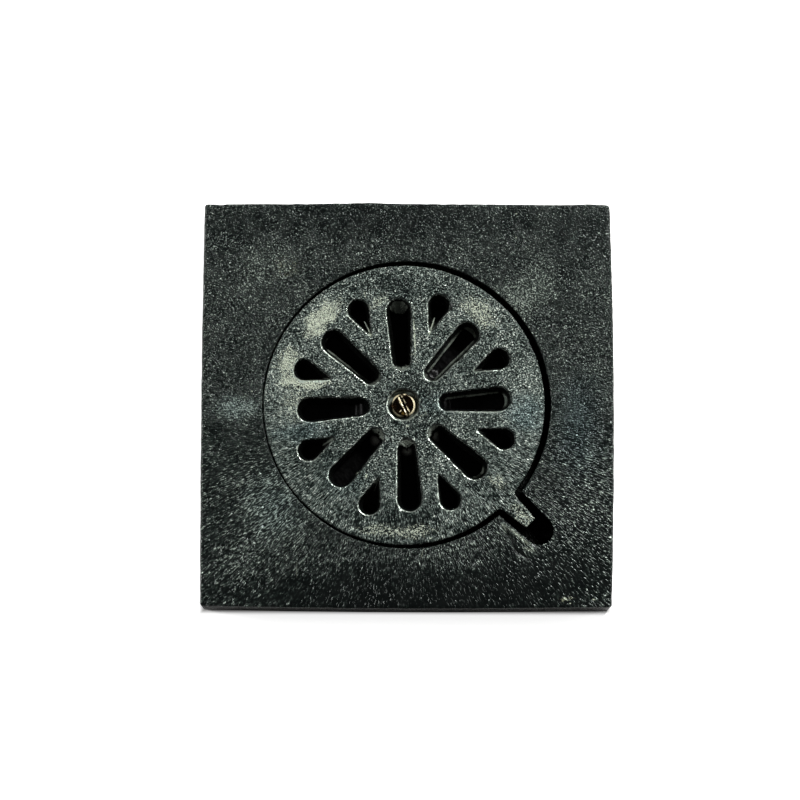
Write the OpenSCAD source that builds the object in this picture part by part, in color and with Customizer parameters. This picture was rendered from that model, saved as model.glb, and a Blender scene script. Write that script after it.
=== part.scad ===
// Square cast-iron floor drain: a hollow frame that is set in the floor, a round grate that
// drops into it and lifts out by its tab, a low bell below the grate, and the brass screw
// that carries the bell. +X is to the right, +Y to the back and +Z up. The frame's foot
// stands on z = 0 and the axis of its round hole is the Z axis.

/* [Frame] */
// Width of the frame's top along X, from corner to corner
plate_w = 200.6; // [190:0.2:240]
// Depth of the frame's top along Y, from corner to corner
plate_d = 198.8; // [190:0.2:240]
// Height of the frame from its foot to its top
frame_h = 25; // [24:1:40]
// Thickness of the plate between the skirt and the collar
web_t = 8; // [5:0.5:8]
// Thickness of the skirt below the plate's edge
skirt_t = 6; // [4:0.5:8]
// Rounding of the frame's four corners in plan
corner_r = 1.6; // [1.2:0.1:6]
// Rounding of the frame's top edge
edge_r = 1; // [0.5:0.1:1.1]
// How much wider each side is at the foot than at the top
side_draft = 0.8; // [0.2:0.1:1.5]
// Outward bow at the middle of the right side
bow_right = 1.6; // [0:0.1:2.5]
// Outward bow at the middle of the back side
bow_back = 0.5; // [0:0.1:2.5]
// Outward bow at the middle of the left side
bow_left = 0.6; // [0:0.1:2.5]
// Outward bow at the middle of the front side
bow_front = 1; // [0:0.1:2.5]
// Thickness of the four ribs that tie the collar to the corners
rib_t = 5; // [3:0.5:8]

/* [Grate seat] */
// Diameter of the round hole that the grate drops into
hole_d = 141.8; // [136:0.2:148]
// Width of the ledge that carries the grate
ledge_w = 7.5; // [5:0.5:10]
// Thickness of the collar round the hole and below the ledge
collar_t = 6; // [4.5:0.5:8]
// Thickness of the spigot that stands below the ledge, for the drain's neck
spigot_t = 6.6; // [5:0.1:8]
// Rounding of the hole's upper edge
hole_edge_r = 0.6; // [0.3:0.1:1.5]

/* [Lifting pocket] */
// Direction of the pocket from the hole's axis
pocket_angle = -43.6; // [-50:0.1:-40]
// Width of the pocket where it meets the hole
pocket_mouth_w = 16.8; // [15:0.2:20]
// Width of the pocket at its round end
pocket_end_w = 14.4; // [12:0.2:18]
// How far the pocket reaches past the edge of the hole
pocket_l = 26; // [22:0.5:30]
// Thickness of the pocket's walls and floor below the plate
pocket_t = 4; // [3:0.5:6]

/* [Grate] */
// Thickness of the grate, which lies flush with the frame
grate_t = 9; // [8:0.5:12]
// Gap between the grate's rim and the hole, all round
grate_gap = 1.9; // [1.6:0.1:3]
// How far the grate lies off the hole's axis along X
grate_lie_x = -1.2; // [-1.4:0.1:1.4]
// How far the grate lies off the hole's axis along Y
grate_lie_y = -0.2; // [-0.6:0.1:0.6]
// How far the grate is turned in the frame, past the middle of the pocket
grate_turn = 0.5; // [-2:0.1:2]
// Rounding of the grate's upper and lower rim
rim_r = 0.9; // [0.3:0.1:1.5]
// How far the ring of holes is turned past the tab
slot_turn = 1.6; // [-3:0.1:3]
// Number of long slots, with a drop-shaped hole between each pair
slot_count = 8; // [6:1:8]
// Distance from the middle to the inner end of a slot
slot_start = 17; // [15:0.5:19]
// Length of a slot
slot_l = 35.5; // [30:0.5:38]
// Width of a slot near its inner end
slot_inner_w = 8.8; // [7:0.2:9.4]
// Width of a slot near its outer end
slot_outer_w = 12; // [9.6:0.2:13]
// Distance from the middle to the tip of a drop-shaped hole
drop_start = 38.5; // [37:0.5:42]
// Length of a drop-shaped hole
drop_l = 18.7; // [16:0.5:20]
// Width of a drop-shaped hole at its round end
drop_w = 10.4; // [8:0.2:11]
// How much each hole closes in from the grate's top to its underside, on each side
hole_draft = 1.8; // [0.6:0.1:2]
// Rounding of the holes' upper edge
lip_r = 0.8; // [0.4:0.1:1]

/* [Lifting tab] */
// How far the tab stands out past the grate's rim
tab_l = 16; // [12:0.5:18]
// Width of the tab where it leaves the rim
tab_root_w = 9.2; // [8:0.1:10]
// Width of the tab at its end
tab_end_w = 6.2; // [5:0.1:8]
// Thickness of the tab
tab_t = 5.5; // [4:0.5:6.5]
// Rounding between the tab and the rim
tab_fillet_r = 2.5; // [1:0.5:3]

/* [Centre screw] */
// Nominal diameter of the screw's thread
thread_d = 6; // [5:0.5:6]
// Length of the screw below its head
screw_l = 20; // [18:0.5:20.5]
// Diameter of the screw's head
head_d = 11.8; // [10:0.1:12.6]
// Height of the screw's head
head_h = 3.6; // [3:0.1:4]
// How far the head lies below the grate's top
head_sink = 0.5; // [0.2:0.1:0.8]
// Width of the slot in the head
driver_slot_w = 1.4; // [1:0.1:2]
// Depth of the slot in the head
driver_slot_t = 1.7; // [1:0.1:2]
// Direction of the slot in the head
driver_slot_angle = -66.5; // [-90:0.5:90]
// Diameter of the sunk seat round the head
counterbore_d = 14.6; // [13.8:0.1:16]
// Rounding of the seat's upper edge
counterbore_edge_r = 1.2; // [0.4:0.1:1.5]
// How far the screw's seat lies off the grate's middle along X
seat_lie = -0.4; // [-0.6:0.1:0.6]
// How far the screw lies off the middle of its seat along Y
screw_lie = -0.4; // [-0.4:0.1:0.4]
// Clearance of the screw in the grate, on the diameter
screw_clearance = 1; // [0.8:0.1:1.4]
// Clearance that the thread's crests leave in the bell, on the diameter
thread_clearance = 0.1; // [0.1:0.05:0.2]

/* [Bell] */
// Outer diameter of the bell's rim
bell_d = 112; // [100:1:114]
// Height of the bell from its rim to its crown
bell_h = 14; // [13:0.5:15]
// Thickness of the bell's roof and rim
bell_t = 3.2; // [2.6:0.1:4]
// Diameter of the flat crown that bears on the grate
crown_d = 38; // [30:1:44]
// Rounding of the crown's shoulder
shoulder_r = 4; // [3:0.5:4]
// Rounding of the bell's outer edge
bell_edge_r = 5; // [4:0.5:6]
// Diameter of the tapped boss inside the bell
boss_d = 20; // [14:1:24]

/* [Hidden] */
$fn = 96;
CUT = 1;                                // how far a cutter runs past the face it opens
IRON = "#3b4243";
WORN_IRON = "#5d635c";
DEEP_IRON = "#26292a";
BRASS = "#b08d4a";
seat_z = frame_h - grate_t;             // the ledge, the pocket's floor and the grate's underside
web_z = frame_h - web_t;
hole_r = hole_d / 2;
neck_r = hole_r - ledge_w;              // the clear way below the ledge
collar_r = hole_r + collar_t;
spigot_r = neck_r + spigot_t;
spigot_z = seat_z - collar_t;           // the spigot's upper end, where the ribs end too
grate_r = hole_r - grate_gap;
pocket_reach = hole_r + pocket_l;
tab_reach = grate_r + tab_l;
tab_angle = pocket_angle + grate_turn;
slot_end = slot_start + slot_l;
drop_end = drop_start + drop_l;
drop_tip_w = 1.2;
MIN_TIP_R = 0.1;                        // the sharpest corner that a hole's outline keeps
head_z = frame_h - head_sink - head_h;  // the counterbore's floor
bell_z = seat_z - bell_h;
bell_roof_z = seat_z - shoulder_r;

// One point at a radius and an angle
function polar(r, a) = [r * cos(a), r * sin(a)];

// Points of an arc in plan, both ends included
function arc(centre, r, from, to, steps) =
    [for (i = [0 : steps]) centre + polar(r, from + (to - from) * i / steps)];

// A ring of points in plan, set at a height
function at_height(ring, z) = [for (p = ring) [p.x, p.y, z]];

// The outline round two circles on the X axis, the near one and the far one, grown all round.
// Where it shrinks past the near circle, its tip draws back so that the sides stay parallel.
function drop_outline(start, end, near_w, far_w, grow, steps = 10) =
    let (near_r = near_w / 2, far_r = far_w / 2,
         near_x = start + near_r, far_x = end - far_r,
         taper = (far_r - near_r) / (far_x - near_x),
         lean = 90 + asin(taper),
         tip_r = max(near_r + grow, MIN_TIP_R),
         tip_x = near_x + (tip_r - near_r - grow) / max(taper, 0.01))
    concat(arc([far_x, 0], far_r + grow, -lean, lean, steps),
           arc([tip_x, 0], tip_r, lean, 360 - lean, steps - 4));

// One side of the frame's outline between its corner arcs: it bows outward by the sagitta
function bowed_side(half_l, reach, bow, a, steps = 10) =
    [for (i = [1 : steps - 1])
        let (t = 2 * i / steps - 1, x = reach + bow * (1 - t * t), y = t * half_l)
        [x * cos(a) - y * sin(a), x * sin(a) + y * cos(a)]];

// The frame's outline: four bowed sides and four round corners, grown all round
function frame_outline(grow) =
    let (x = plate_w / 2 + grow, y = plate_d / 2 + grow, r = max(corner_r + grow, 0.4))
    concat(bowed_side(y - r, x, bow_right, 0), arc([x - r, y - r], r, 0, 90, 4),
           bowed_side(x - r, y, bow_back, 90), arc([r - x, y - r], r, 90, 180, 4),
           bowed_side(y - r, x, bow_left, 180), arc([r - x, r - y], r, 180, 270, 4),
           bowed_side(x - r, y, bow_front, 270), arc([x - r, r - y], r, 270, 360, 4));

// A closed solid over rings of equally many points, the lowest first, each anticlockwise
module skin(rings) {
    n = len(rings[0]);
    top = len(rings) - 1;
    sides = [for (k = [0 : top - 1], i = [0 : n - 1])
        let (j = (i + 1) % n, low = k * n, high = low + n)
        each [[low + i, high + i, high + j], [low + i, high + j, low + j]]];
    floor = [for (i = [0 : n - 1]) i];
    roof = [for (i = [n - 1 : -1 : 0]) top * n + i];
    polyhedron([for (ring = rings) each ring], concat([floor], sides, [roof]));
}

// A drafted hole through the grate, with a rounded upper edge
module drafted_hole(start, end, near_w, far_w) {
    lip_z = frame_h - lip_r;
    past = hole_draft * CUT / (grate_t - lip_r);
    skin(concat(
        [at_height(drop_outline(start, end, near_w, far_w, -hole_draft - past), seat_z - CUT)],
        [for (a = [0 : 30 : 90])
            at_height(drop_outline(start, end, near_w, far_w, lip_r * (1 - cos(a))),
                      lip_z + lip_r * sin(a))],
        [at_height(drop_outline(start, end, near_w, far_w, lip_r), frame_h + CUT)]));
}

// The frame's outside: drafted sides and a rounded top edge
module frame_block() {
    skin(concat(
        [at_height(frame_outline(side_draft), 0)],
        [for (a = [0 : 30 : 90])
            at_height(frame_outline(edge_r * (cos(a) - 1)), frame_h - edge_r + edge_r * sin(a))]));
}

// A straight-sided block over the pocket's outline, from one height to another
module pocket_block(grow, from, to) {
    start = hole_r - pocket_mouth_w;
    translate([0, 0, from]) linear_extrude(height = to - from) rotate(pocket_angle)
        polygon(drop_outline(start, pocket_reach, pocket_mouth_w, pocket_end_w, grow));
}

// What is left out below the plate: all but the skirt, the collar, the spigot, the ribs
// and the pocket
module frame_hollow() {
    difference() {
        skin([at_height(frame_outline(-skirt_t + side_draft), -CUT),
              at_height(frame_outline(-skirt_t), web_z)]);
        translate([0, 0, -2 * CUT]) cylinder(r = spigot_r, h = frame_h);
        translate([0, 0, spigot_z]) cylinder(r = collar_r, h = frame_h);
        pocket_block(pocket_t, seat_z - pocket_t, frame_h);
        for (corner = [0 : 3]) rotate(45 + 90 * corner)
            translate([0, -rib_t / 2, spigot_z]) cube([plate_w, rib_t, frame_h]);
    }
}

// The round way down through the frame: the hole, the ledge and the neck below it
module frame_bore() {
    rotate_extrude() polygon(concat(
        [[0, -CUT], [neck_r, -CUT], [neck_r, seat_z], [hole_r, seat_z]],
        [for (a = [0 : 15 : 90])
            [hole_r + hole_edge_r * (1 - cos(a)), frame_h - hole_edge_r * (1 - sin(a))]],
        [[hole_r + hole_edge_r, frame_h + CUT], [0, frame_h + CUT]]));
}

module frame() {
    color(IRON) difference() {
        frame_block();
        frame_hollow();
        frame_bore();
        pocket_block(0, seat_z, frame_h + CUT);
    }
}

// Moves what belongs to the grate to where the grate lies in the frame
module in_grate_place() {
    translate([grate_lie_x, grate_lie_y, 0]) children();
}

// Moves the screw, and the bell that it carries, to where the screw stands in its seat
module in_screw_place() {
    in_grate_place() translate([seat_lie, screw_lie, 0]) children();
}

// The round slab of the grate, with its rim rounded above and below
module grate_disc() {
    translate([0, 0, seat_z]) rotate_extrude() polygon(concat(
        [[0, 0]],
        arc([grate_r - rim_r, rim_r], rim_r, -90, 0, 6),
        arc([grate_r - rim_r, grate_t - rim_r], rim_r, 0, 90, 6),
        [[0, grate_t]]));
}

// The tab: it narrows to a square end, and flares into the rim at its root
module tab() {
    root = tab_root_w / 2;
    end = tab_end_w / 2;
    flare_x = sqrt(pow(grate_r + tab_fillet_r, 2) - pow(root + tab_fillet_r, 2));
    flare = arc([flare_x, root + tab_fillet_r], tab_fillet_r, 270, 190, 6);
    half = concat([[tab_reach, end]], flare, [[grate_r - tab_fillet_r * 2, root + tab_fillet_r]]);
    mirrored = [for (i = [len(half) - 1 : -1 : 0]) [half[i].x, -half[i].y]];
    translate([0, 0, frame_h - tab_t]) linear_extrude(height = tab_t)
        polygon(concat(half, mirrored));
}

// The screw's way through the grate: a clearance hole and a sunk seat with a rounded edge
module screw_seat() {
    bore_r = (thread_d + screw_clearance) / 2;
    seat_r = counterbore_d / 2;
    edge_r = counterbore_edge_r;
    translate([seat_lie, 0, 0]) rotate_extrude() polygon(concat(
        [[0, seat_z - CUT], [bore_r, seat_z - CUT], [bore_r, head_z], [seat_r, head_z]],
        [for (a = [0 : 15 : 90])
            [seat_r + edge_r * (1 - cos(a)), frame_h - edge_r * (1 - sin(a))]],
        [[seat_r + edge_r, frame_h + CUT], [0, frame_h + CUT]]));
}

module grate() {
    pitch = 360 / slot_count;
    color(WORN_IRON) in_grate_place() difference() {
        union() {
            grate_disc();
            rotate(tab_angle) tab();
        }
        for (i = [0 : slot_count - 1]) rotate(tab_angle + slot_turn + i * pitch) {
            drafted_hole(slot_start, slot_end, slot_inner_w, slot_outer_w);
            rotate(pitch / 2) drafted_hole(drop_start, drop_end, drop_tip_w, drop_w);
        }
        screw_seat();
    }
}

// The bell: crown, shoulder, roof and rim turned as one wall, with a tapped boss inside
module bell() {
    crown_r = crown_d / 2;
    rim_r = bell_d / 2;
    bore_r = (thread_d + thread_clearance) / 2;
    under_z = bell_roof_z - bell_t;
    color(DEEP_IRON) in_screw_place() rotate_extrude() polygon(concat(
        [[bore_r, bell_z], [boss_d / 2, bell_z], [boss_d / 2, under_z]],
        arc([rim_r - bell_edge_r, bell_roof_z - bell_edge_r], bell_edge_r - bell_t, 90, 0, 6),
        [[rim_r - bell_t, bell_z], [rim_r, bell_z]],
        arc([rim_r - bell_edge_r, bell_roof_z - bell_edge_r], bell_edge_r, 0, 90, 8),
        arc([crown_r, bell_roof_z], shoulder_r, 0, 90, 8),
        [[bore_r, seat_z]]));
}

// The screw: a slotted cheese head with a rounded top edge, and a plain shank
module centre_screw() {
    head_edge_r = head_h / 4;
    tip = thread_d / 8;
    head_r = head_d / 2;
    color(BRASS) in_screw_place() translate([0, 0, head_z]) difference() {
        rotate_extrude() polygon(concat(
            [[0, -screw_l], [thread_d / 2 - tip, -screw_l], [thread_d / 2, tip - screw_l],
             [thread_d / 2, 0], [head_r, 0]],
            arc([head_r - head_edge_r, head_h - head_edge_r], head_edge_r, 0, 90, 6),
            [[0, head_h]]));
        rotate(driver_slot_angle) translate([-head_d, -driver_slot_w / 2, head_h - driver_slot_t])
            cube([head_d * 2, driver_slot_w, head_h]);
    }
}

frame();
grate();
bell();
centre_screw();
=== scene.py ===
from math import cos, exp, hypot, radians, sin

import bmesh
import bpy
from mathutils import Matrix, Vector, noise
from mathutils.geometry import intersect_point_line


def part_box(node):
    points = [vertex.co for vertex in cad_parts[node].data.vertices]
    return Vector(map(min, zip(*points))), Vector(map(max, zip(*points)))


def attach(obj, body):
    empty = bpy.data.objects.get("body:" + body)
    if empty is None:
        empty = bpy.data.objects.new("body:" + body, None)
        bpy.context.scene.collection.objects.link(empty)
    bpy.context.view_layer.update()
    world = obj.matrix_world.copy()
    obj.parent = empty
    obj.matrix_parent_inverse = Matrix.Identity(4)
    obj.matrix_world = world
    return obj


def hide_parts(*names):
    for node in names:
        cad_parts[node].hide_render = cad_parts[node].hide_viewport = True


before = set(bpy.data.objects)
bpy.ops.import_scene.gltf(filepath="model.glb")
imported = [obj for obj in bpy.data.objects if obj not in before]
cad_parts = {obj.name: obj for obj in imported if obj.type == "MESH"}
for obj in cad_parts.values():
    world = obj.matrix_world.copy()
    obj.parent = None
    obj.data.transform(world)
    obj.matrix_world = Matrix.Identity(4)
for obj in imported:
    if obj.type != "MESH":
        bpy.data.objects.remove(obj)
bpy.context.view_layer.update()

# The camera hangs 1.3 m above the drain and a little toward its front edge, so that a thin
# strip of the front side shows below the top. The square fills half the picture.
camera_distance = 1.3
camera_lean = radians(6.38)
camera_turn = radians(0.19)
lens = bpy.data.cameras.new("camera")
lens.sensor_width = 36
lens.lens = 119.18
lens.shift_x = -0.0082
lens.shift_y = 0.0050
camera = bpy.data.objects.new("camera", lens)
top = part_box("frame")[1].z
camera.matrix_world = (
    Matrix.Translation((0, -camera_distance * sin(camera_lean), top + camera_distance * cos(camera_lean)))
    @ Matrix.Rotation(camera_lean, 4, "X") @ Matrix.Rotation(camera_turn, 4, "Z"))
bpy.context.collection.objects.link(camera)
bpy.context.scene.camera = camera
bpy.context.scene.view_settings.view_transform = "Standard"


# The frame is one square hollow casting of grey iron, made in a sand mould and dipped in
# bitumen while warm. It is set in the floor with its top flush, and its ledge carries the grate.
def cut_across(skin, axis, at, part=None):
    """Cuts the skin, or a part of it, with the plane where axis is at mm, and returns what was cut."""
    across = Vector((axis == 0, axis == 1, axis == 2))
    part = part or skin.verts[:] + skin.edges[:] + skin.faces[:]
    cut = bmesh.ops.bisect_plane(skin, geom=part, dist=1e-6, plane_co=across * at / 1000, plane_no=across)
    return cut["geom"]


def merged_casting(node, pitch):
    """A copy of a CAD node's skin, merged and cut every pitch mm, so that it can be dented."""
    lowest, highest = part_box(node)
    skin = bmesh.new()
    skin.from_mesh(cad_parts[node].data)
    bmesh.ops.remove_doubles(skin, verts=skin.verts, dist=2e-6)
    bmesh.ops.dissolve_limit(skin, angle_limit=radians(0.3), verts=skin.verts, edges=skin.edges)
    for axis, step in enumerate(pitch):
        k = int(lowest[axis] * 1000 / step) - 1
        while (k + 0.37) * step < highest[axis] * 1000:
            cut_across(skin, axis, (k + 0.37) * step)
            k += 1
    return skin


def cut_finer(skin, low, high, pitch):
    """Cuts the faces inside a box again, every pitch mm, for a place with small forms."""
    part = set()
    for f in skin.faces:
        at = f.calc_center_median() * 1000
        if all(low[i] < at[i] < high[i] for i in range(3)):
            part.update([f], f.edges, f.verts)
    part = list(part)
    for axis in (0, 1):
        at = low[axis] + pitch * 0.53
        while at < high[axis]:
            part = cut_across(skin, axis, at, part)
            at += pitch


def mould_marks(skin, swell, wave, seed):
    """Pushes the skin in and out along its normals, as the sand of the mould left it. In mm."""
    skin.normal_update()
    pushes = []
    for v in skin.verts:
        at = v.co * 1000 / wave + Vector((seed, 0, 0))
        push = noise.noise(at) + 0.5 * noise.noise(at * 2.3)
        pushes.append(v.normal * push * swell / 1000 * min(1, v.co.z / 0.002))
    for v, push in zip(skin.verts, pushes):
        v.co += push


def chipped_edges(skin, deep, wave, seed):
    """Wears the upper edges of a casting back, deeper in some places than in others. In mm."""
    skin.normal_update()
    for v in skin.verts:
        if v.co.z > 0.0225 and 0.1 < v.normal.z < 0.97:
            chip = noise.noise(v.co * 1000 / wave + Vector((seed, 0, 0))) + 0.2
            v.co -= v.normal * max(0, chip) * deep / 1000


def pressed(skin, path, half_width, depth):
    """Sinks the top along a path of x, y points in mm. A negative depth raises a ridge."""
    points = [Vector((x, y, 0)) for x, y in path]
    for v in skin.verts:
        if v.co.z < 0.0235:
            continue
        here = Vector((v.co.x, v.co.y, 0)) * 1000
        nearest = 1e9
        for start, end in zip(points, points[1:]):
            on_line, along = intersect_point_line(here, start, end)
            on_line = start if along < 0 else end if along > 1 else on_line
            nearest = min(nearest, (here - on_line).length)
        if nearest < half_width:
            v.co.z -= depth / 1000 * (0.5 + 0.5 * cos(3.1416 * nearest / half_width))


def finished(name, skin, sharp, material, node):
    """Makes the skin an object that replaces its CAD node and rides with it."""
    mesh = bpy.data.meshes.new(name)
    skin.to_mesh(mesh)
    skin.free()
    mesh.polygons.foreach_set("use_smooth", [True] * len(mesh.polygons))
    mesh.set_sharp_from_angle(angle=radians(sharp))
    mesh.materials.append(material)
    piece = bpy.data.objects.new(name, mesh)
    bpy.context.collection.objects.link(piece)
    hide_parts(node)
    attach(piece, "root")
    return piece


def colour(code):
    """An sRGB hex colour as Blender's linear one."""
    parts = [int(code[i:i + 2], 16) / 255 for i in (1, 3, 5)]
    return [p / 12.92 if p <= 0.04045 else ((p + 0.055) / 1.055) ** 2.4 for p in parts] + [1]


def add(tree, kind, inputs, **settings):
    """Adds a node. An input is a value, a socket, or a node that feeds it from its first live output."""
    made = tree.nodes.new("ShaderNode" + kind)
    for name, value in settings.items():
        setattr(made, name, value)
    for name, value in inputs.items():
        if isinstance(value, bpy.types.Node):
            value = next(output for output in value.outputs if output.enabled)
        if isinstance(value, bpy.types.NodeSocket):
            tree.links.new(value, made.inputs[name])
        else:
            made.inputs[name].default_value = value
    return made


def new_finish(name):
    """An empty material, its node tree, and its Object coordinates in mm."""
    material = bpy.data.materials.new(name)
    material.use_nodes = True
    tree = material.node_tree
    tree.nodes.clear()
    metres = add(tree, "TexCoord", {}).outputs["Object"]
    return material, tree, add(tree, "VectorMath", {0: metres, "Scale": 1000.0}, operation="SCALE")


soft = {"interpolation_type": "SMOOTHSTEP"}


def places(tree, mm, wander, listed):
    """1 in the middle of each listed place and 0 past its edge, which wanders by some mm.

    A place is its x, y, half length and half width in mm, its turn in degrees, and its strength.
    """
    drift = add(tree, "TexNoise", {"Vector": mm, "Scale": 1 / (wander + 0.5), "Detail": 3.0}).outputs["Color"]
    drift = add(tree, "VectorMath", {0: drift, 1: (0.5, 0.5, 0.5)}, operation="SUBTRACT")
    drift = add(tree, "VectorMath", {0: drift, "Scale": 1.5 * wander}, operation="SCALE")
    moved = add(tree, "VectorMath", {0: mm, 1: drift}, operation="ADD")
    total = 0.0
    for x, y, long, wide, turn, strength in listed:
        local = add(tree, "Mapping", {"Vector": moved, "Location": (x, y, 0),
                                      "Rotation": (0, 0, radians(turn)),
                                      "Scale": (long, wide, 1000)}, vector_type="TEXTURE")
        far = add(tree, "VectorMath", {0: local}, operation="LENGTH")
        one = add(tree, "MapRange", {0: far, 1: 1.0, 2: 0.1, 3: 0.0, 4: strength}, **soft)
        total = add(tree, "Math", {0: total, 1: one})
    return total


def cast_iron(name, tones, dust, rubbed_and_sheen, crests, blue_sheen, dusty, flecks, wear, grain, lumpy, swept,
              lips_within, flash_z):
    """Sand-cast iron, bitumen in its pits and its crests rubbed pale, from tones[0] up to tones[3].

    rubbed, crests, cold, dusty and flecks list places. The places in rubbed are wear that also paints
    the lamps' broad sheen, and painted shade where they are negative; those in cold paint a bluish
    sheen. wear is how much wear it has all over, and lumpy how far that varies. grain is the width of
    the sand's grain in mm, and swept how far it is drawn out into ripples. The holes within
    lips_within mm have lips with a painted highlight on the side that faces the back right soft box
    and painted shade on the others, and flash below the height flash_z whose up-facing tops are
    painted grey as a highlight. Foundry sand is 0.2 to 0.3 mm wide, and is drawn coarser so that it
    shows.
    """
    material, tree, mm = new_finish(name)
    place = add(tree, "SeparateXYZ", {0: mm}).outputs
    normal = add(tree, "NewGeometry", {}).outputs["Normal"]
    facing = add(tree, "SeparateXYZ", {0: normal}).outputs[2]
    # The sand's grain, drawn out into ripples that run from the middle where the mould was swept
    flat = add(tree, "VectorMath", {0: mm, 1: (1.0, 1.0, 0.0)}, operation="MULTIPLY")
    out = add(tree, "VectorMath", {0: flat}, operation="LENGTH")
    way = add(tree, "VectorMath", {0: flat}, operation="NORMALIZE")
    turned = add(tree, "VectorMath", {0: way, "Scale": 150.0}, operation="SCALE")
    run = add(tree, "Math", {0: out, 1: 1.9}, operation="DIVIDE")
    run = add(tree, "Math", {0: place[2], 1: 1.3, 2: run}, operation="MULTIPLY_ADD")
    run = add(tree, "CombineXYZ", {2: run})
    drawn = add(tree, "VectorMath", {0: turned, 1: run}, operation="ADD")
    ripple = add(tree, "TexNoise", {"Vector": drawn, "Scale": 1.0, "Detail": 0.0})
    sand = add(tree, "TexNoise", {"Vector": mm, "Scale": 1 / grain, "Detail": 0.0, "Distortion": 0.3})
    swept_side = add(tree, "MapRange", {0: place[1], 1: 30.0, 2: -40.0, 3: 0.0, 4: swept}, **soft)
    far_out = add(tree, "MapRange", {0: out, 1: 30.0, 2: 62.0}, **soft)
    swept_side = add(tree, "Math", {0: swept_side, 1: far_out}, operation="MULTIPLY")
    height = add(tree, "Mix", {0: swept_side, 2: sand, 3: ripple})
    # Where it is rubbed, in places and in clouds, the grain stands out more and is paler; the listed places
    # also paint the lamps' broad sheen, and painted shade where they are negative
    lumps = add(tree, "TexNoise", {"Vector": mm, "Scale": 1 / 2.3, "Detail": 2.0})
    lumps = add(tree, "MapRange", {0: lumps, 1: 0.3, 2: 0.7, 3: -lumpy, 4: lumpy}, **soft)
    clouds = add(tree, "TexNoise", {"Vector": mm, "Scale": 1 / 14.0, "Detail": 3.0, "Roughness": 0.6})
    clouds = add(tree, "MapRange", {0: clouds, 1: 0.35, 2: 0.68, 3: -0.7 * lumpy, 4: 0.7 * lumpy}, **soft)
    worn_and_sheen = add(tree, "Math", {0: places(tree, mm, 12.0, rubbed_and_sheen), 1: wear})
    worn_and_sheen = add(tree, "Math", {0: worn_and_sheen, 1: places(tree, mm, 1.0, crests)})
    worn_and_sheen = add(tree, "Math", {0: worn_and_sheen, 1: lumps})
    worn_and_sheen = add(tree, "Math", {0: worn_and_sheen, 1: clouds})
    patchy = add(tree, "TexNoise", {"Vector": mm, "Scale": 1 / 0.6, "Detail": 1.0, "Roughness": 0.6})
    tone = add(tree, "Mix", {0: 0.4, 2: height, 3: patchy})
    tone = add(tree, "Math", {0: worn_and_sheen, 1: 0.08, 2: tone}, operation="MULTIPLY_ADD")
    low = add(tree, "MapRange", {0: tone, 1: 0.34, 2: 0.52}, **soft)
    base = add(tree, "Mix", {0: low, 6: tones[0], 7: tones[1]}, data_type="RGBA")
    high = add(tree, "MapRange", {0: tone, 1: 0.46, 2: 0.64}, **soft)
    base = add(tree, "Mix", {0: high, 6: base, 7: tones[2]}, data_type="RGBA")
    peak = add(tree, "MapRange", {0: tone, 1: 0.60, 2: 0.74}, **soft)
    base = add(tree, "Mix", {0: peak, 6: base, 7: tones[3]}, data_type="RGBA")
    # Dust lies in patches, finer than the grain
    powder = add(tree, "TexNoise", {"Vector": mm, "Scale": 1 / 0.6, "Detail": 1.0, "Roughness": 0.7})
    cover = add(tree, "Math", {0: places(tree, mm, 7.0, dusty), 1: 1.0}, operation="MINIMUM")
    powder = add(tree, "Math", {0: cover, 1: 0.23, 2: powder}, operation="MULTIPLY_ADD")
    powder = add(tree, "MapRange", {0: powder, 1: 0.60, 2: 0.72}, **soft)
    cover = add(tree, "MapRange", {0: cover, 1: 0.05, 2: 0.3}, **soft)
    powder = add(tree, "Math", {0: powder, 1: cover}, operation="MULTIPLY")
    base = add(tree, "Mix", {0: powder, 6: base, 7: dust}, data_type="RGBA")
    # Only the top is rubbed and dusty: below it the coat is whole, black and dull, and its flat black also
    # stands in for the shade down in the holes
    top_side = add(tree, "MapRange", {0: place[2], 1: 23.7, 2: 24.3}, **soft)
    base = add(tree, "Mix", {0: top_side, 6: colour("#0a0b0a"), 7: base}, data_type="RGBA")
    # Up-facing flash in the holes is painted grey, as a highlight where light from above catches it
    below = add(tree, "MapRange", {0: place[2], 1: flash_z + 0.3, 2: flash_z}, **soft)
    flash = add(tree, "MapRange", {0: facing, 1: 0.35, 2: 0.6}, **soft)
    flash = add(tree, "Math", {0: flash, 1: below}, operation="MULTIPLY")
    base = add(tree, "Mix", {0: flash, 6: base, 7: colour("#7c8078")}, data_type="RGBA")
    # The rounded lips have a painted highlight where they face the soft box behind the back right corner, and
    # painted shade elsewhere; where bright they are also bare metal
    lip = add(tree, "MapRange", {0: facing, 1: 0.975, 2: 0.92}, **soft)
    wall = add(tree, "MapRange", {0: facing, 1: 0.45, 2: 0.65}, **soft)
    lip = add(tree, "Math", {0: lip, 1: wall}, operation="MULTIPLY")
    lip = add(tree, "Math", {0: lip, 1: top_side}, operation="MULTIPLY")
    within = add(tree, "MapRange", {0: out, 1: lips_within + 1, 2: lips_within}, **soft)
    lip = add(tree, "Math", {0: lip, 1: within}, operation="MULTIPLY")
    aside = add(tree, "VectorMath", {0: normal, 1: (0.6, 0.5, 0.0)}, operation="DOT_PRODUCT").outputs["Value"]
    lamp_side = add(tree, "TexNoise", {"Vector": mm, "Scale": 1 / 1.5, "Detail": 2.0})
    lamp_side = add(tree, "MapRange", {0: lamp_side, 1: 0.40, 2: 0.55, 3: -0.1, 4: 0.1}, **soft)
    aside = add(tree, "Math", {0: aside, 1: lamp_side})
    lamp_side = add(tree, "MapRange", {0: aside, 1: -0.05, 2: 0.2}, **soft)
    edge = add(tree, "Mix", {0: lamp_side, 6: colour("#1b1e1b"), 7: colour("#d5dbd2")}, data_type="RGBA")
    base = add(tree, "Mix", {0: lip, 6: base, 7: edge}, data_type="RGBA")
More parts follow.
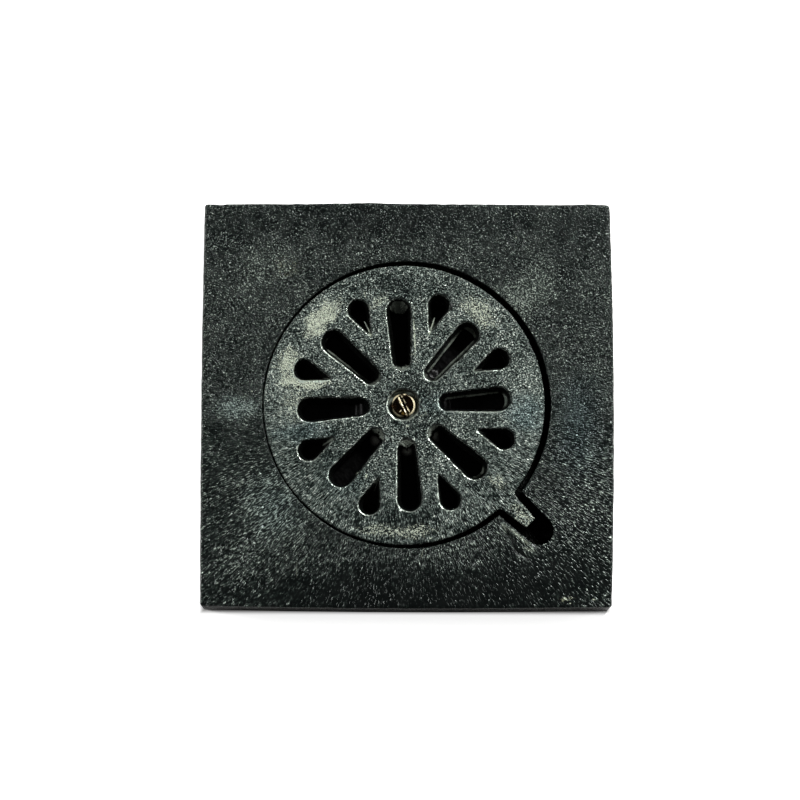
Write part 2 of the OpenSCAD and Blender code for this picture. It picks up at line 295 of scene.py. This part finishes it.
    # Flecks and scratches of bare bright metal, on the top and on the upper part of the walls
    in_reach = add(tree, "MapRange", {0: place[2], 1: 17.5, 2: 18.5}, **soft)
    fleck = places(tree, mm, 0.8, flecks)
    fleck = add(tree, "Math", {0: fleck, 1: in_reach}, operation="MULTIPLY", use_clamp=True)
    broken = add(tree, "MapRange", {0: patchy, 1: 0.38, 2: 0.52, 3: 0.15, 4: 1.0}, **soft)
    fleck = add(tree, "Math", {0: fleck, 1: broken}, operation="MULTIPLY")
    base = add(tree, "Mix", {0: fleck, 6: base, 7: colour("#e2e6d2")}, data_type="RGBA")
    # The iron is a little green all over, and the cold places paint a bluish sheen of the soft boxes on it
    tint = add(tree, "Mix", {0: places(tree, mm, 9.0, blue_sheen), 6: colour("#f4fbf7"), 7: colour("#dcf2f8")},
               data_type="RGBA", clamp_factor=True)
    base = add(tree, "Mix", {0: 1.0, 6: base, 7: tint}, data_type="RGBA", blend_type="MULTIPLY")
    rough = add(tree, "TexNoise", {"Vector": mm, "Scale": 1 / 7.0, "Detail": 3.0})
    rough = add(tree, "MapRange", {0: rough, 1: 0.3, 2: 0.7, 3: 0.25, 4: 0.33}, **soft)
    rough = add(tree, "Mix", {0: powder, 2: rough, 3: 0.6})
    metal = add(tree, "Math", {0: high, 1: 0.3}, operation="MULTIPLY")
    metal = add(tree, "Math", {0: metal, 1: top_side}, operation="MULTIPLY")
    bright = add(tree, "Math", {0: lip, 1: lamp_side}, operation="MULTIPLY")
    metal = add(tree, "Math", {0: metal, 1: bright}, operation="MAXIMUM")
    metal = add(tree, "Mix", {0: fleck, 2: metal, 3: 0.0})
    sheen = add(tree, "Mix", {0: top_side, 2: 0.04, 3: 0.5})
    # The bitumen fills the pits, so that only the crests stand proud where it is thick
    filled = add(tree, "MapRange", {0: worn_and_sheen, 1: -0.6, 2: 0.6, 3: 0.56, 4: 0.30})
    height = add(tree, "Math", {0: height, 1: filled}, operation="MAXIMUM")
    relief = add(tree, "MapRange", {0: worn_and_sheen, 1: -0.6, 2: 1.4, 3: 0.5, 4: 1.6})
    height = add(tree, "Math", {0: height, 1: relief}, operation="MULTIPLY")
    bump = add(tree, "Bump", {"Strength": 1.0, "Distance": 0.0012, "Height": height})
    shader = add(tree, "BsdfPrincipled", {"Base Color": base, "Metallic": metal, "Roughness": rough,
                                          "IOR": 1.5, "Specular IOR Level": sheen, "Specular Tint": tint,
                                          "Normal": bump})
    add(tree, "OutputMaterial", {"Surface": shader})
    return material


# Bitumen-dipped cast iron: thin glossy black over sand grain, so that it sparkles at its crests.
# Where feet have crossed it, it is rubbed to grey, and the lamps' broad sheen and some shade are painted into
# the same places; a little dirt browns it.
frame_finish = cast_iron(
    "bitumen_dipped_cast_iron", [colour(c) for c in ("#060909", "#101514", "#363e3a", "#a8afa6")],
    dust=colour("#8d8d78"), wear=0.0, grain=0.70, lumpy=0.35, swept=1.0, lips_within=0.0, flash_z=-1.0,
    rubbed_and_sheen=[
        # Rubbed most, and painted with the lamps' broad sheen, at the back right, the front left, the left
        # and the back left, and a little at the right
        (58, 54, 28, 16, 45, 1.4), (-66, -52, 34, 22, -45, 1.45), (-78, -76, 26, 18, -45, 0.6),
        (-84, -3, 22, 10, 0, 1.7), (-70, 68, 22, 14, 45, 0.85), (80, -10, 16, 50, 0, 0.3),
        # Painted shade along the front edge, the back edge and in the corners
        (0, -94, 110, 20, 0, -2.0), (70, -84, 50, 22, 0, -0.9), (0, 92, 110, 18, 0, -0.9),
        (86, 86, 30, 24, 0, -0.6), (-90, 90, 22, 20, 0, -0.4)],
    crests=[
        # The raised lip of the pocket, its mound and its crease
        (55.5, -65.5, 12, 2.6, -39, 1.6), (48, -61.5, 4.0, 2.2, -50, 1.4), (60, -71.5, 6.5, 2.8, -15, 1.6),
        (52.0, -68.0, 6.0, 1.0, -60, -1.0),
        # Two scuffs
        (-64, 40, 9, 0.6, 30, 0.5), (-90, -22, 8, 0.8, 15, 0.6)],
    # Bluish sheen of the soft boxes, painted in at the right, the left and the front left
    blue_sheen=[(84, -10, 18, 40, 0, 0.8), (-84, -2, 18, 9, 0, 0.5), (-64, -50, 22, 26, 0, 0.5)],
    dusty=[(78, -95, 6, 2, 0, 0.6), (-60, 68, 14, 10, 30, 0.2)],
    flecks=[
        # Specks of bare metal
        (-76, 6, 0.6, 0.5, 0, 1), (-72, 0, 0.5, 0.4, 0, 0.7), (86, -31, 0.6, 0.5, 0, 1),
        (96, -70, 0.6, 0.4, 0, 1), (54, 95, 0.5, 0.4, 0, 0.8), (54, 83, 0.5, 0.4, 0, 0.6),
        (77.5, -95, 1.6, 0.8, -30, 1), (91.5, -95.5, 1.2, 0.6, 10, 0.9), (80, -97.5, 0.7, 0.6, 0, 1),
        # A scratch, the lip of the pocket, and one more scratch
        (8, -73, 4, 0.3, 80, 0.4), (55.5, -65.2, 11, 1.0, -39, 0.4), (60, -71.3, 4, 1.2, -15, 0.3),
        (48, -60.5, 3, 1.0, -50, 0.45), (-53.3, -81.5, 5, 0.3, 90, 0.3)])
frame_skin = merged_casting("frame", (1.8, 1.8, 3.0))
mould_marks(frame_skin, 0.14, 11.0, 3.0)
chipped_edges(frame_skin, 0.22, 4.0, 9.0)
# The pocket's near lip was pulled up as the mould was lifted, with a crease outside it
cut_finer(frame_skin, (43, -78, 22), (70, -52, 26), 0.5)
pressed(frame_skin, [(47.0, -58.6), (55.0, -65.4), (63.0, -71.4)], 1.7, -0.5)
pressed(frame_skin, [(57.0, -71.0), (61.0, -73.0)], 2.6, -0.4)
pressed(frame_skin, [(47.6, -61.0), (51.0, -65.8), (52.4, -69.6), (54.4, -72.6), (59.0, -75.4)], 1.3, 0.9)
# Something round stood on the frame at its right, and left a faint ring
ring_x, ring_y, ring_r = 88.8, 3.4, 4.9
ring = [(ring_x + ring_r * cos(radians(a)), ring_y + ring_r * sin(radians(a))) for a in range(0, 361, 30)]
pressed(frame_skin, ring, 0.9, 0.15)
# The back edge bulges in two places and is chipped at its left, and one foot stands off the table
back_edge_y, bulges = 97, ((-20, 14, 0.45), (90, 8, 0.5), (-92, 1.5, -0.5))
foot_x, foot_y, foot_z, foot_lift = -88, -92, 3, 0.0010
for v in frame_skin.verts:
    x, y, z = v.co * 1000
    if y > back_edge_y:
        for middle, wide, bulge in bulges:
            v.co.y += bulge / 1000 * exp(-((x - middle) / wide) ** 2)
    if z < foot_z and x < foot_x and y < foot_y:
        v.co.z += foot_lift * min(1, (foot_x - x) / 2)
finished("frame_casting", frame_skin, 32, frame_finish, "frame")

# The grate is a flat disc of the same iron, cast with its ring of slots and drops and a tab to
# lift it by. Feet have worn its bitumen through to the grey iron, and dust sits in its grain.
grate_finish = cast_iron(
    "worn_cast_iron", [colour(c) for c in ("#060a0a", "#1d2624", "#828c86", "#f4f5ec")],
    dust=colour("#d2d5c3"), wear=0.15, grain=0.68, lumpy=0.55, swept=0.9, lips_within=59.0, flash_z=23.9,
    rubbed_and_sheen=[
        # Most at the left, the back left and the right, where the lamps' broad sheen is painted in with the
        # wear
        (-58, 12, 18, 30, 0, 0.6), (-40, 44, 20, 12, 45, 0.5), (56, 4, 16, 26, 0, 0.6),
        # Darker at the back, the front, round the screw and between the front slots
        (0, 58, 30, 12, 0, -1.0), (0, -58, 44, 16, 0, -0.9), (42, -34, 16, 16, 0, -0.5),
        (0, 0, 24, 24, 0, -0.7), (-34, -34, 18, 18, 0, -0.3)],
    crests=[
        (3.9, 31, 12, 0.9, -86, 1.0), (-50, -36.7, 5.5, 0.8, 28, 1.2), (-46, -44, 6, 0.8, 35, 1.0),
        (-57, -30, 4, 0.7, 40, 1.0), (9, -3, 5, 0.7, -62, 1.0), (-30, 8, 8, 1.0, 10, 0.5),
        (40, 38, 9, 1.0, 35, 0.6), (-62, 4, 3, 9, 0, 0.6)],
    # Bluish sheen of the soft boxes, painted in at the right, the left, the middle and the front left
    blue_sheen=[(58, -4, 16, 14, 0, 0.8), (-52, -14, 22, 8, 0, 0.7), (12, 0, 16, 8, 0, 0.5),
          (-30, -36, 14, 16, 45, 0.4)],
    dusty=[
        # The back left, the left and the front, then the back right, the tab and some thin places
        (-42, 42, 16, 7, 45, 1.3), (-58, 20, 9, 10, 0, 1.0), (-4, -62, 34, 5, 0, 0.42),
        (36, 46, 16, 8, -45, 0.6), (57, -55.5, 13, 9, -43, 0.38), (44, -38, 8, 6, 0, 0.35),
        (-14, 50, 12, 6, 30, 0.3), (-54, 0, 14, 20, 0, 0.3), (-50, 11, 18, 5, 0, 1.1)],
    flecks=[
        # Two nicks at the edge
        (-65, 18, 2.6, 0.4, 5, 0.9), (12, -66, 1.2, 0.4, 40, 1),
        # The fins in the back drops, and the flakes at their tips
        (-18.9, 37.3, 3.6, 0.45, -74, 0.8), (-17.9, 34.3, 1.4, 0.9, -40, 1.7),
        (12.5, 39.3, 4.2, 0.45, 69, 0.8), (11.2, 35.4, 1.4, 0.9, 60, 1.6),
        # Scratches beside the screw, where a driver slipped
        (6.6, 2.0, 1.3, 0.4, 90, 0.9), (8.6, -2.7, 4.2, 0.3, -62, 0.5), (7.8, -5.6, 2.8, 0.3, 15, 0.5),
        # Specks of bare metal
        (36, 46, 1.4, 0.5, 10, 0.7), (46, -37, 1.2, 0.6, 40, 0.6), (-10, -60.5, 1.0, 0.7, 0, 0.9),
        (4, -63, 1.1, 0.6, 30, 0.9), (-17, -61, 0.9, 0.7, 0, 0.7), (3, 24.5, 2.0, 0.5, 0, 0.8),
        (17.5, 20, 1.6, 0.9, 50, 1),
        # A line beside the back left drop, one at the back right slot, and one along the back slot
        (-20.6, 54, 2.4, 0.35, -75, 0.9), (38.5, 48.5, 2.0, 0.4, 10, 1), (3.8, 33, 12, 0.6, -87, 1.3),
        # Specks in front of the screw
        (0.5, -10.8, 1.3, 0.7, 30, 1.2), (-19.6, -35.7, 1.5, 0.8, 70, 1.2), (-24, -34, 1.2, 0.5, 40, 0.8)])
grate_x, grate_y = -1.2, -0.2
grate_skin = merged_casting("grate", (1.5, 1.5, 2.5))
# Flash is thin, so the walls are cut closely at its height
for at in (16.3, 16.9, 17.5):
    cut_across(grate_skin, 2, at)
mould_marks(grate_skin, 0.12, 8.0, 11.0)
chipped_edges(grate_skin, 0.25, 2.5, 4.0)


def around_hole(v, angle):
    """Where a point lies beside a hole: mm out from the middle, and mm to the left of its axis."""
    x, y = v.co.x * 1000 - grate_x, v.co.y * 1000 - grate_y
    turn = radians(angle)
    return x * cos(turn) + y * sin(turn), y * cos(turn) - x * sin(turn)


# Iron ran under the mould's cores and left thin flash inside some slots: angle, then how far it
# reaches in from the right side, the left side, the inner end and the outer end. It lies at the
# bottom of a slot, but slopes down from the top at the inner end, and stands higher where a long
# tongue of it reaches in from the outer end. Lengths are in mm, and heights in m.
hole_start, slot_inner_end, slot_outer_end, hole_end = 15, 20, 47.5, 54
half_width, tongue = 7, 4
thin_top, tongue_top, slope_top = 0.01695, 0.0195, 0.0242
grate_skin.normal_update()
for angle, right, left, inner, outer in (
        (3.5, 0.1, 0.6, 0.3, 0.9), (93.5, 0.0, 0.0, 1.2, 5.0), (138.5, 0.0, 0.6, 0.8, 0.4),
        (48.5, 0.6, 0.7, 0.8, 1.6), (-41.5, 0.1, 0.1, 1.2, 0.9), (-86.5, 0.0, 0.0, 3.2, 0.0),
        (-131.5, 0.0, 0.0, 1.5, 0.0)):
    inward = Vector((-cos(radians(angle)), -sin(radians(angle)), 0))
    for v in grate_skin.verts:
        out, aside = around_hole(v, angle)
        highest = slope_top if out < slot_inner_end else tongue_top if outer > tongue else thin_top
        if v.co.z > highest or abs(v.normal.z) > 0.8:
            continue
        if not hole_start < out < hole_end or abs(aside) > half_width:
            continue
        ragged = 1 + 0.35 * noise.noise(v.co * 300)
        if out > slot_outer_end:
            rounded = min(1, (out - slot_outer_end) / 2) * max(0.1, 1 - (aside / 5) ** 2)
            v.co += inward * outer / 1000 * ragged * rounded
        elif out < slot_inner_end:
            v.co += v.normal * inner / 1000 * ragged * min(1, (slope_top + 0.0001 - v.co.z) / 0.003)
        else:
            v.co += v.normal * (left if aside > 0 else right) / 1000 * ragged
# Four of the drops weren't cut clean: a web of rough iron slopes down from the tip, and in two of
# them a thin fin of flash runs on along the middle
web_start, web_end, web_reach, grate_thick = 38, 46, 0.006, 0.009
for angle in (71, 116, 206, 251):
    outward = Vector((cos(radians(angle)), sin(radians(angle)), 0))
    for v in grate_skin.verts:
        out, aside = around_hole(v, angle)
        if web_start < out < web_end and abs(aside) < 4 and v.co.z < 0.0236:
            fill = (slope_top - v.co.z) / grate_thick * (web_end - out) / (web_end - web_start)
            v.co += outward * web_reach * fill * (1 + 0.4 * noise.noise(v.co * 600))
fin_out, fin_z, fin_pitch = 0.0418, 0.0226, 0.2
fin_size = Matrix.Diagonal((0.0080, 0.0005, 0.0016, 1))
for angle in (71, 115.5):
    turn = Matrix.Rotation(radians(angle), 4, "Z")
    middle = Vector((grate_x, grate_y, 0)) / 1000 + turn @ Vector((fin_out, 0, fin_z))
    place = Matrix.Translation(middle) @ turn @ Matrix.Rotation(fin_pitch, 4, "Y")
    bmesh.ops.create_cube(grate_skin, size=1, matrix=place @ fin_size)
# The seat of the screw is dished: years of tightening have worn the iron round it down, by nothing
# at dish_r mm out, and by 0.3 mm at the seat's edge, which is 0.35 of the way in
screw_x, screw_y, screw_top = -1.6, -0.6, 24.5
dish_r, dish_deep = 11, 0.0003 / 0.35
for v in grate_skin.verts:
    far = hypot(v.co.x * 1000 - screw_x, v.co.y * 1000 - screw_y)
    if v.co.z > 0.0225 and far < dish_r:
        v.co.z -= dish_deep * (1 - far / dish_r)
finished("grate_casting", grate_skin, 38, grate_finish, "grate")

# The bell is a thin cast-iron cup that the screw holds mouth down below the grate, where it seals
# the drain with the water round its rim. It never dries, so its bitumen stays black. Grey patches
# are painted on the upper side of its shoulder as highlights, where the lamps glint on it through the slots.
bell_finish, tree, mm = new_finish("wet_black_bitumen")
lumps = add(tree, "TexNoise", {"Vector": mm, "Scale": 1 / 2.4, "Detail": 2.0})
rough = add(tree, "MapRange", {0: lumps, 1: 0.3, 2: 0.7, 3: 0.35, 4: 0.5}, **soft)
bump = add(tree, "Bump", {"Strength": 1.0, "Distance": 0.0004, "Height": lumps})
# Grey patches painted on the shoulder as highlights, seen through the inner ends of the slots
shoulder_highlight = places(tree, mm, 0.8, [(0.5, -22.4, 3.6, 2.4, 0, 0.9), (-15.2, -17.2, 3.8, 3.2, -40, 0.7),
                             (13.8, -14.2, 4.8, 2.6, -75, 0.7)])
up = add(tree, "SeparateXYZ", {0: add(tree, "NewGeometry", {}).outputs["Normal"]}).outputs[2]
upper = add(tree, "MapRange", {0: up, 1: 0.1, 2: 0.3}, **soft)
shoulder_highlight = add(tree, "Math", {0: shoulder_highlight, 1: upper}, operation="MULTIPLY")
base = add(tree, "Mix", {0: shoulder_highlight, 6: colour("#020202"), 7: colour("#f0f1e6")},
           data_type="RGBA", clamp_factor=True)
shader = add(tree, "BsdfPrincipled", {"Base Color": base, "Roughness": rough,
                                      "Specular IOR Level": 0.12, "Normal": bump})
add(tree, "OutputMaterial", {"Surface": shader})
bell_skin = merged_casting("bell", (3.0, 3.0, 3.0))
mould_marks(bell_skin, 0.3, 5.0, 5.0)
finished("bell_casting", bell_skin, 38, bell_finish, "bell")

# The screw is turned brass with a slotted round head, burred by drivers. It holds the bell below
# the grate. Its faces are painted nearly black, as tarnish and as the dark room that their polish
# reflects. The rim and the burrs are rubbed bright, and a highlight is painted on the rim and a lit
# band along the driver slot.
driver_turn, driver_w = radians(-66.5), 1.4
screw_finish, tree, mm = new_finish("tarnished_brass")
local = add(tree, "Mapping", {"Vector": mm, "Location": (screw_x, screw_y, 0),
                              "Rotation": (0, 0, driver_turn)}, vector_type="TEXTURE")
flat = add(tree, "VectorMath", {0: local, 1: (1.0, 1.0, 0.0)}, operation="MULTIPLY")
out = add(tree, "VectorMath", {0: flat}, operation="LENGTH")
height = add(tree, "SeparateXYZ", {0: local}).outputs[2]
rim = add(tree, "MapRange", {0: out, 1: 4.95, 2: 5.25}, **soft)
# The rim is rubbed bright in these places, and they also paint its highlight, strongest at the right
rubbed_and_sheen = places(tree, mm, 0.3, [(3.9, -1.6, 5.5, 8.0, 0, 1.6), (-5.3, 3.6, 4.4, 2.2, 50, 1.2),
                                (-4.4, -5.0, 4.5, 2.5, -40, 0.5)])
rim = add(tree, "Math", {0: rim, 1: rubbed_and_sheen}, operation="MULTIPLY", use_clamp=True)
# Painted light along the floor and the edges of the driver slot, with the bright burrs beside it
slot_light_and_burrs = places(tree, local, 0.3, [(-2.2, -0.55, 4.0, 0.9, 0, 1.4), (3.2, 0.0, 3.0, 0.65, 0, 1.6),
                                 (2.8, 1.4, 2.4, 0.4, 4, 1.3), (-1.6, 1.3, 2.0, 0.5, 0, 0.5),
                                 (-4.3, 1.0, 0.9, 0.7, 0, 0.9), (-4.8, 2.9, 1.3, 0.7, 70, 0.9),
                                 (2.0, -2.3, 1.0, 0.45, -70, 1.4)])
bright = add(tree, "Math", {0: rim, 1: slot_light_and_burrs}, operation="MAXIMUM", use_clamp=True)
stain = add(tree, "TexNoise", {"Vector": mm, "Scale": 0.5, "Detail": 3.0})
stain = add(tree, "MapRange", {0: stain, 1: 0.4, 2: 0.65}, **soft)
base = add(tree, "Mix", {0: stain, 6: colour("#14110e"), 7: colour("#2c2014")}, data_type="RGBA")
gold = places(tree, local, 0.3, [(3.6, -1.7, 1.3, 0.9, 0, 1.2)])
base = add(tree, "Mix", {0: gold, 6: base, 7: colour("#a8843c")}, data_type="RGBA", clamp_factor=True)
base = add(tree, "Mix", {0: bright, 6: base, 7: colour("#f0e4bc")}, data_type="RGBA")
head = add(tree, "MapRange", {0: height, 1: 20.0, 2: 20.8}, **soft)
base = add(tree, "Mix", {0: head, 6: colour("#4a3a20"), 7: base}, data_type="RGBA")
nicks = add(tree, "TexNoise", {"Vector": mm, "Scale": 1 / 0.5, "Detail": 1.0})
rough = add(tree, "MapRange", {0: nicks, 1: 0.3, 2: 0.7, 3: 0.25, 4: 0.4}, **soft)
metal = add(tree, "Mix", {0: bright, 2: 1.0, 3: 0.35})
bump = add(tree, "Bump", {"Strength": 0.6, "Distance": 0.0003, "Height": nicks})
shader = add(tree, "BsdfPrincipled", {"Base Color": base, "Metallic": metal,
                                      "Roughness": rough, "Normal": bump})
add(tree, "OutputMaterial", {"Surface": shader})
screw_skin = merged_casting("centre_screw", (0.5, 0.5, 1.0))
burr_w, burr_h, head_r = 0.5, 0.00022, 5.6
for v in screw_skin.verts:
    x, y, z = v.co * 1000 - Vector((screw_x, screw_y, screw_top))
    aside = y * cos(driver_turn) - x * sin(driver_turn)
    if z > -0.1 and driver_w / 2 - 0.1 < abs(aside) < driver_w / 2 + burr_w:
        v.co.z += burr_h * max(0, 0.6 + noise.noise(v.co * 900))
    # The left side of the driver slot is burred over, so that it shows half as wide as it is
    elif -driver_w / 2 - 0.1 < aside < 0.1 and -3.2 < z < -0.1 and hypot(x, y) < head_r:
        v.co.z = (screw_top - 0.2 + 0.15 * noise.noise(v.co * 900)) / 1000
finished("brass_screw", screw_skin, 30, screw_finish, "centre_screw")

# The drain lies on a white table. The table glows for the camera alone, so that it shows a clean
# white ground, and only the thin shadow close under the drain is left on it.
table_skin = bmesh.new()
bmesh.ops.create_grid(table_skin, x_segments=1, y_segments=1, size=4)
table_mesh = bpy.data.meshes.new("white_table")
table_skin.to_mesh(table_mesh)
table_skin.free()
table = bpy.data.objects.new("white_table", table_mesh)
bpy.context.collection.objects.link(table)
table_finish, tree, mm = new_finish("white_board")
path = add(tree, "LightPath", {}).outputs
sides = add(tree, "SeparateXYZ", {0: add(tree, "VectorMath", {0: mm}, operation="ABSOLUTE")}).outputs
outside = add(tree, "Math", {0: sides[0], 1: sides[1]}, operation="MAXIMUM")
# The glow starts just outside the drain's edge
to_eye = add(tree, "MapRange", {0: outside, 1: 100.0, 2: 103.0, 3: 0.0, 4: 0.85}, **soft)
glow = add(tree, "Math", {0: path["Is Camera Ray"], 1: to_eye}, operation="MULTIPLY")
shader = add(tree, "BsdfPrincipled", {"Base Color": colour("#f4f4f2"), "Roughness": 0.6,
                                      "Emission Color": (1, 1, 1, 1), "Emission Strength": glow})
add(tree, "OutputMaterial", {"Surface": shader})
table.data.materials.append(table_finish)


# Soft boxes stand at the left and right of the table, and the main one behind its right corner.
# The room above them is dark, so that the black iron stays black.
def soft_box(name, place, size, power):
    """A square soft box that faces the drain."""
    light = bpy.data.lights.new(name, "AREA")
    light.shape = "RECTANGLE"
    light.size, light.size_y = size
    light.energy = power
    lamp = bpy.data.objects.new(name, light)
    facing = Vector(place).to_track_quat("Z", "Y").to_matrix().to_4x4()
    lamp.matrix_world = Matrix.Translation(place) @ facing
    bpy.context.collection.objects.link(lamp)


soft_box("left_box", (-0.85, 0.10, 0.55), (0.22, 0.22), 4.4)
soft_box("right_box", (0.85, 0.05, 0.55), (0.22, 0.22), 1.8)
soft_box("back_box", (0.55, 0.65, 0.65), (0.22, 0.22), 12.2)
room = bpy.data.worlds.new("studio_room")
bpy.context.scene.world = room
room.use_nodes = True
tree = room.node_tree
tree.nodes.clear()
up = add(tree, "SeparateXYZ", {0: add(tree, "TexCoord", {}).outputs["Generated"]}).outputs[2]
level = add(tree, "MapRange", {0: up, 1: 0.05, 2: 0.60, 3: 0.32, 4: 0.04}, **soft)
wall = add(tree, "Background", {"Color": (1, 1, 1, 1), "Strength": level})
add(tree, "OutputWorld", {"Surface": wall})
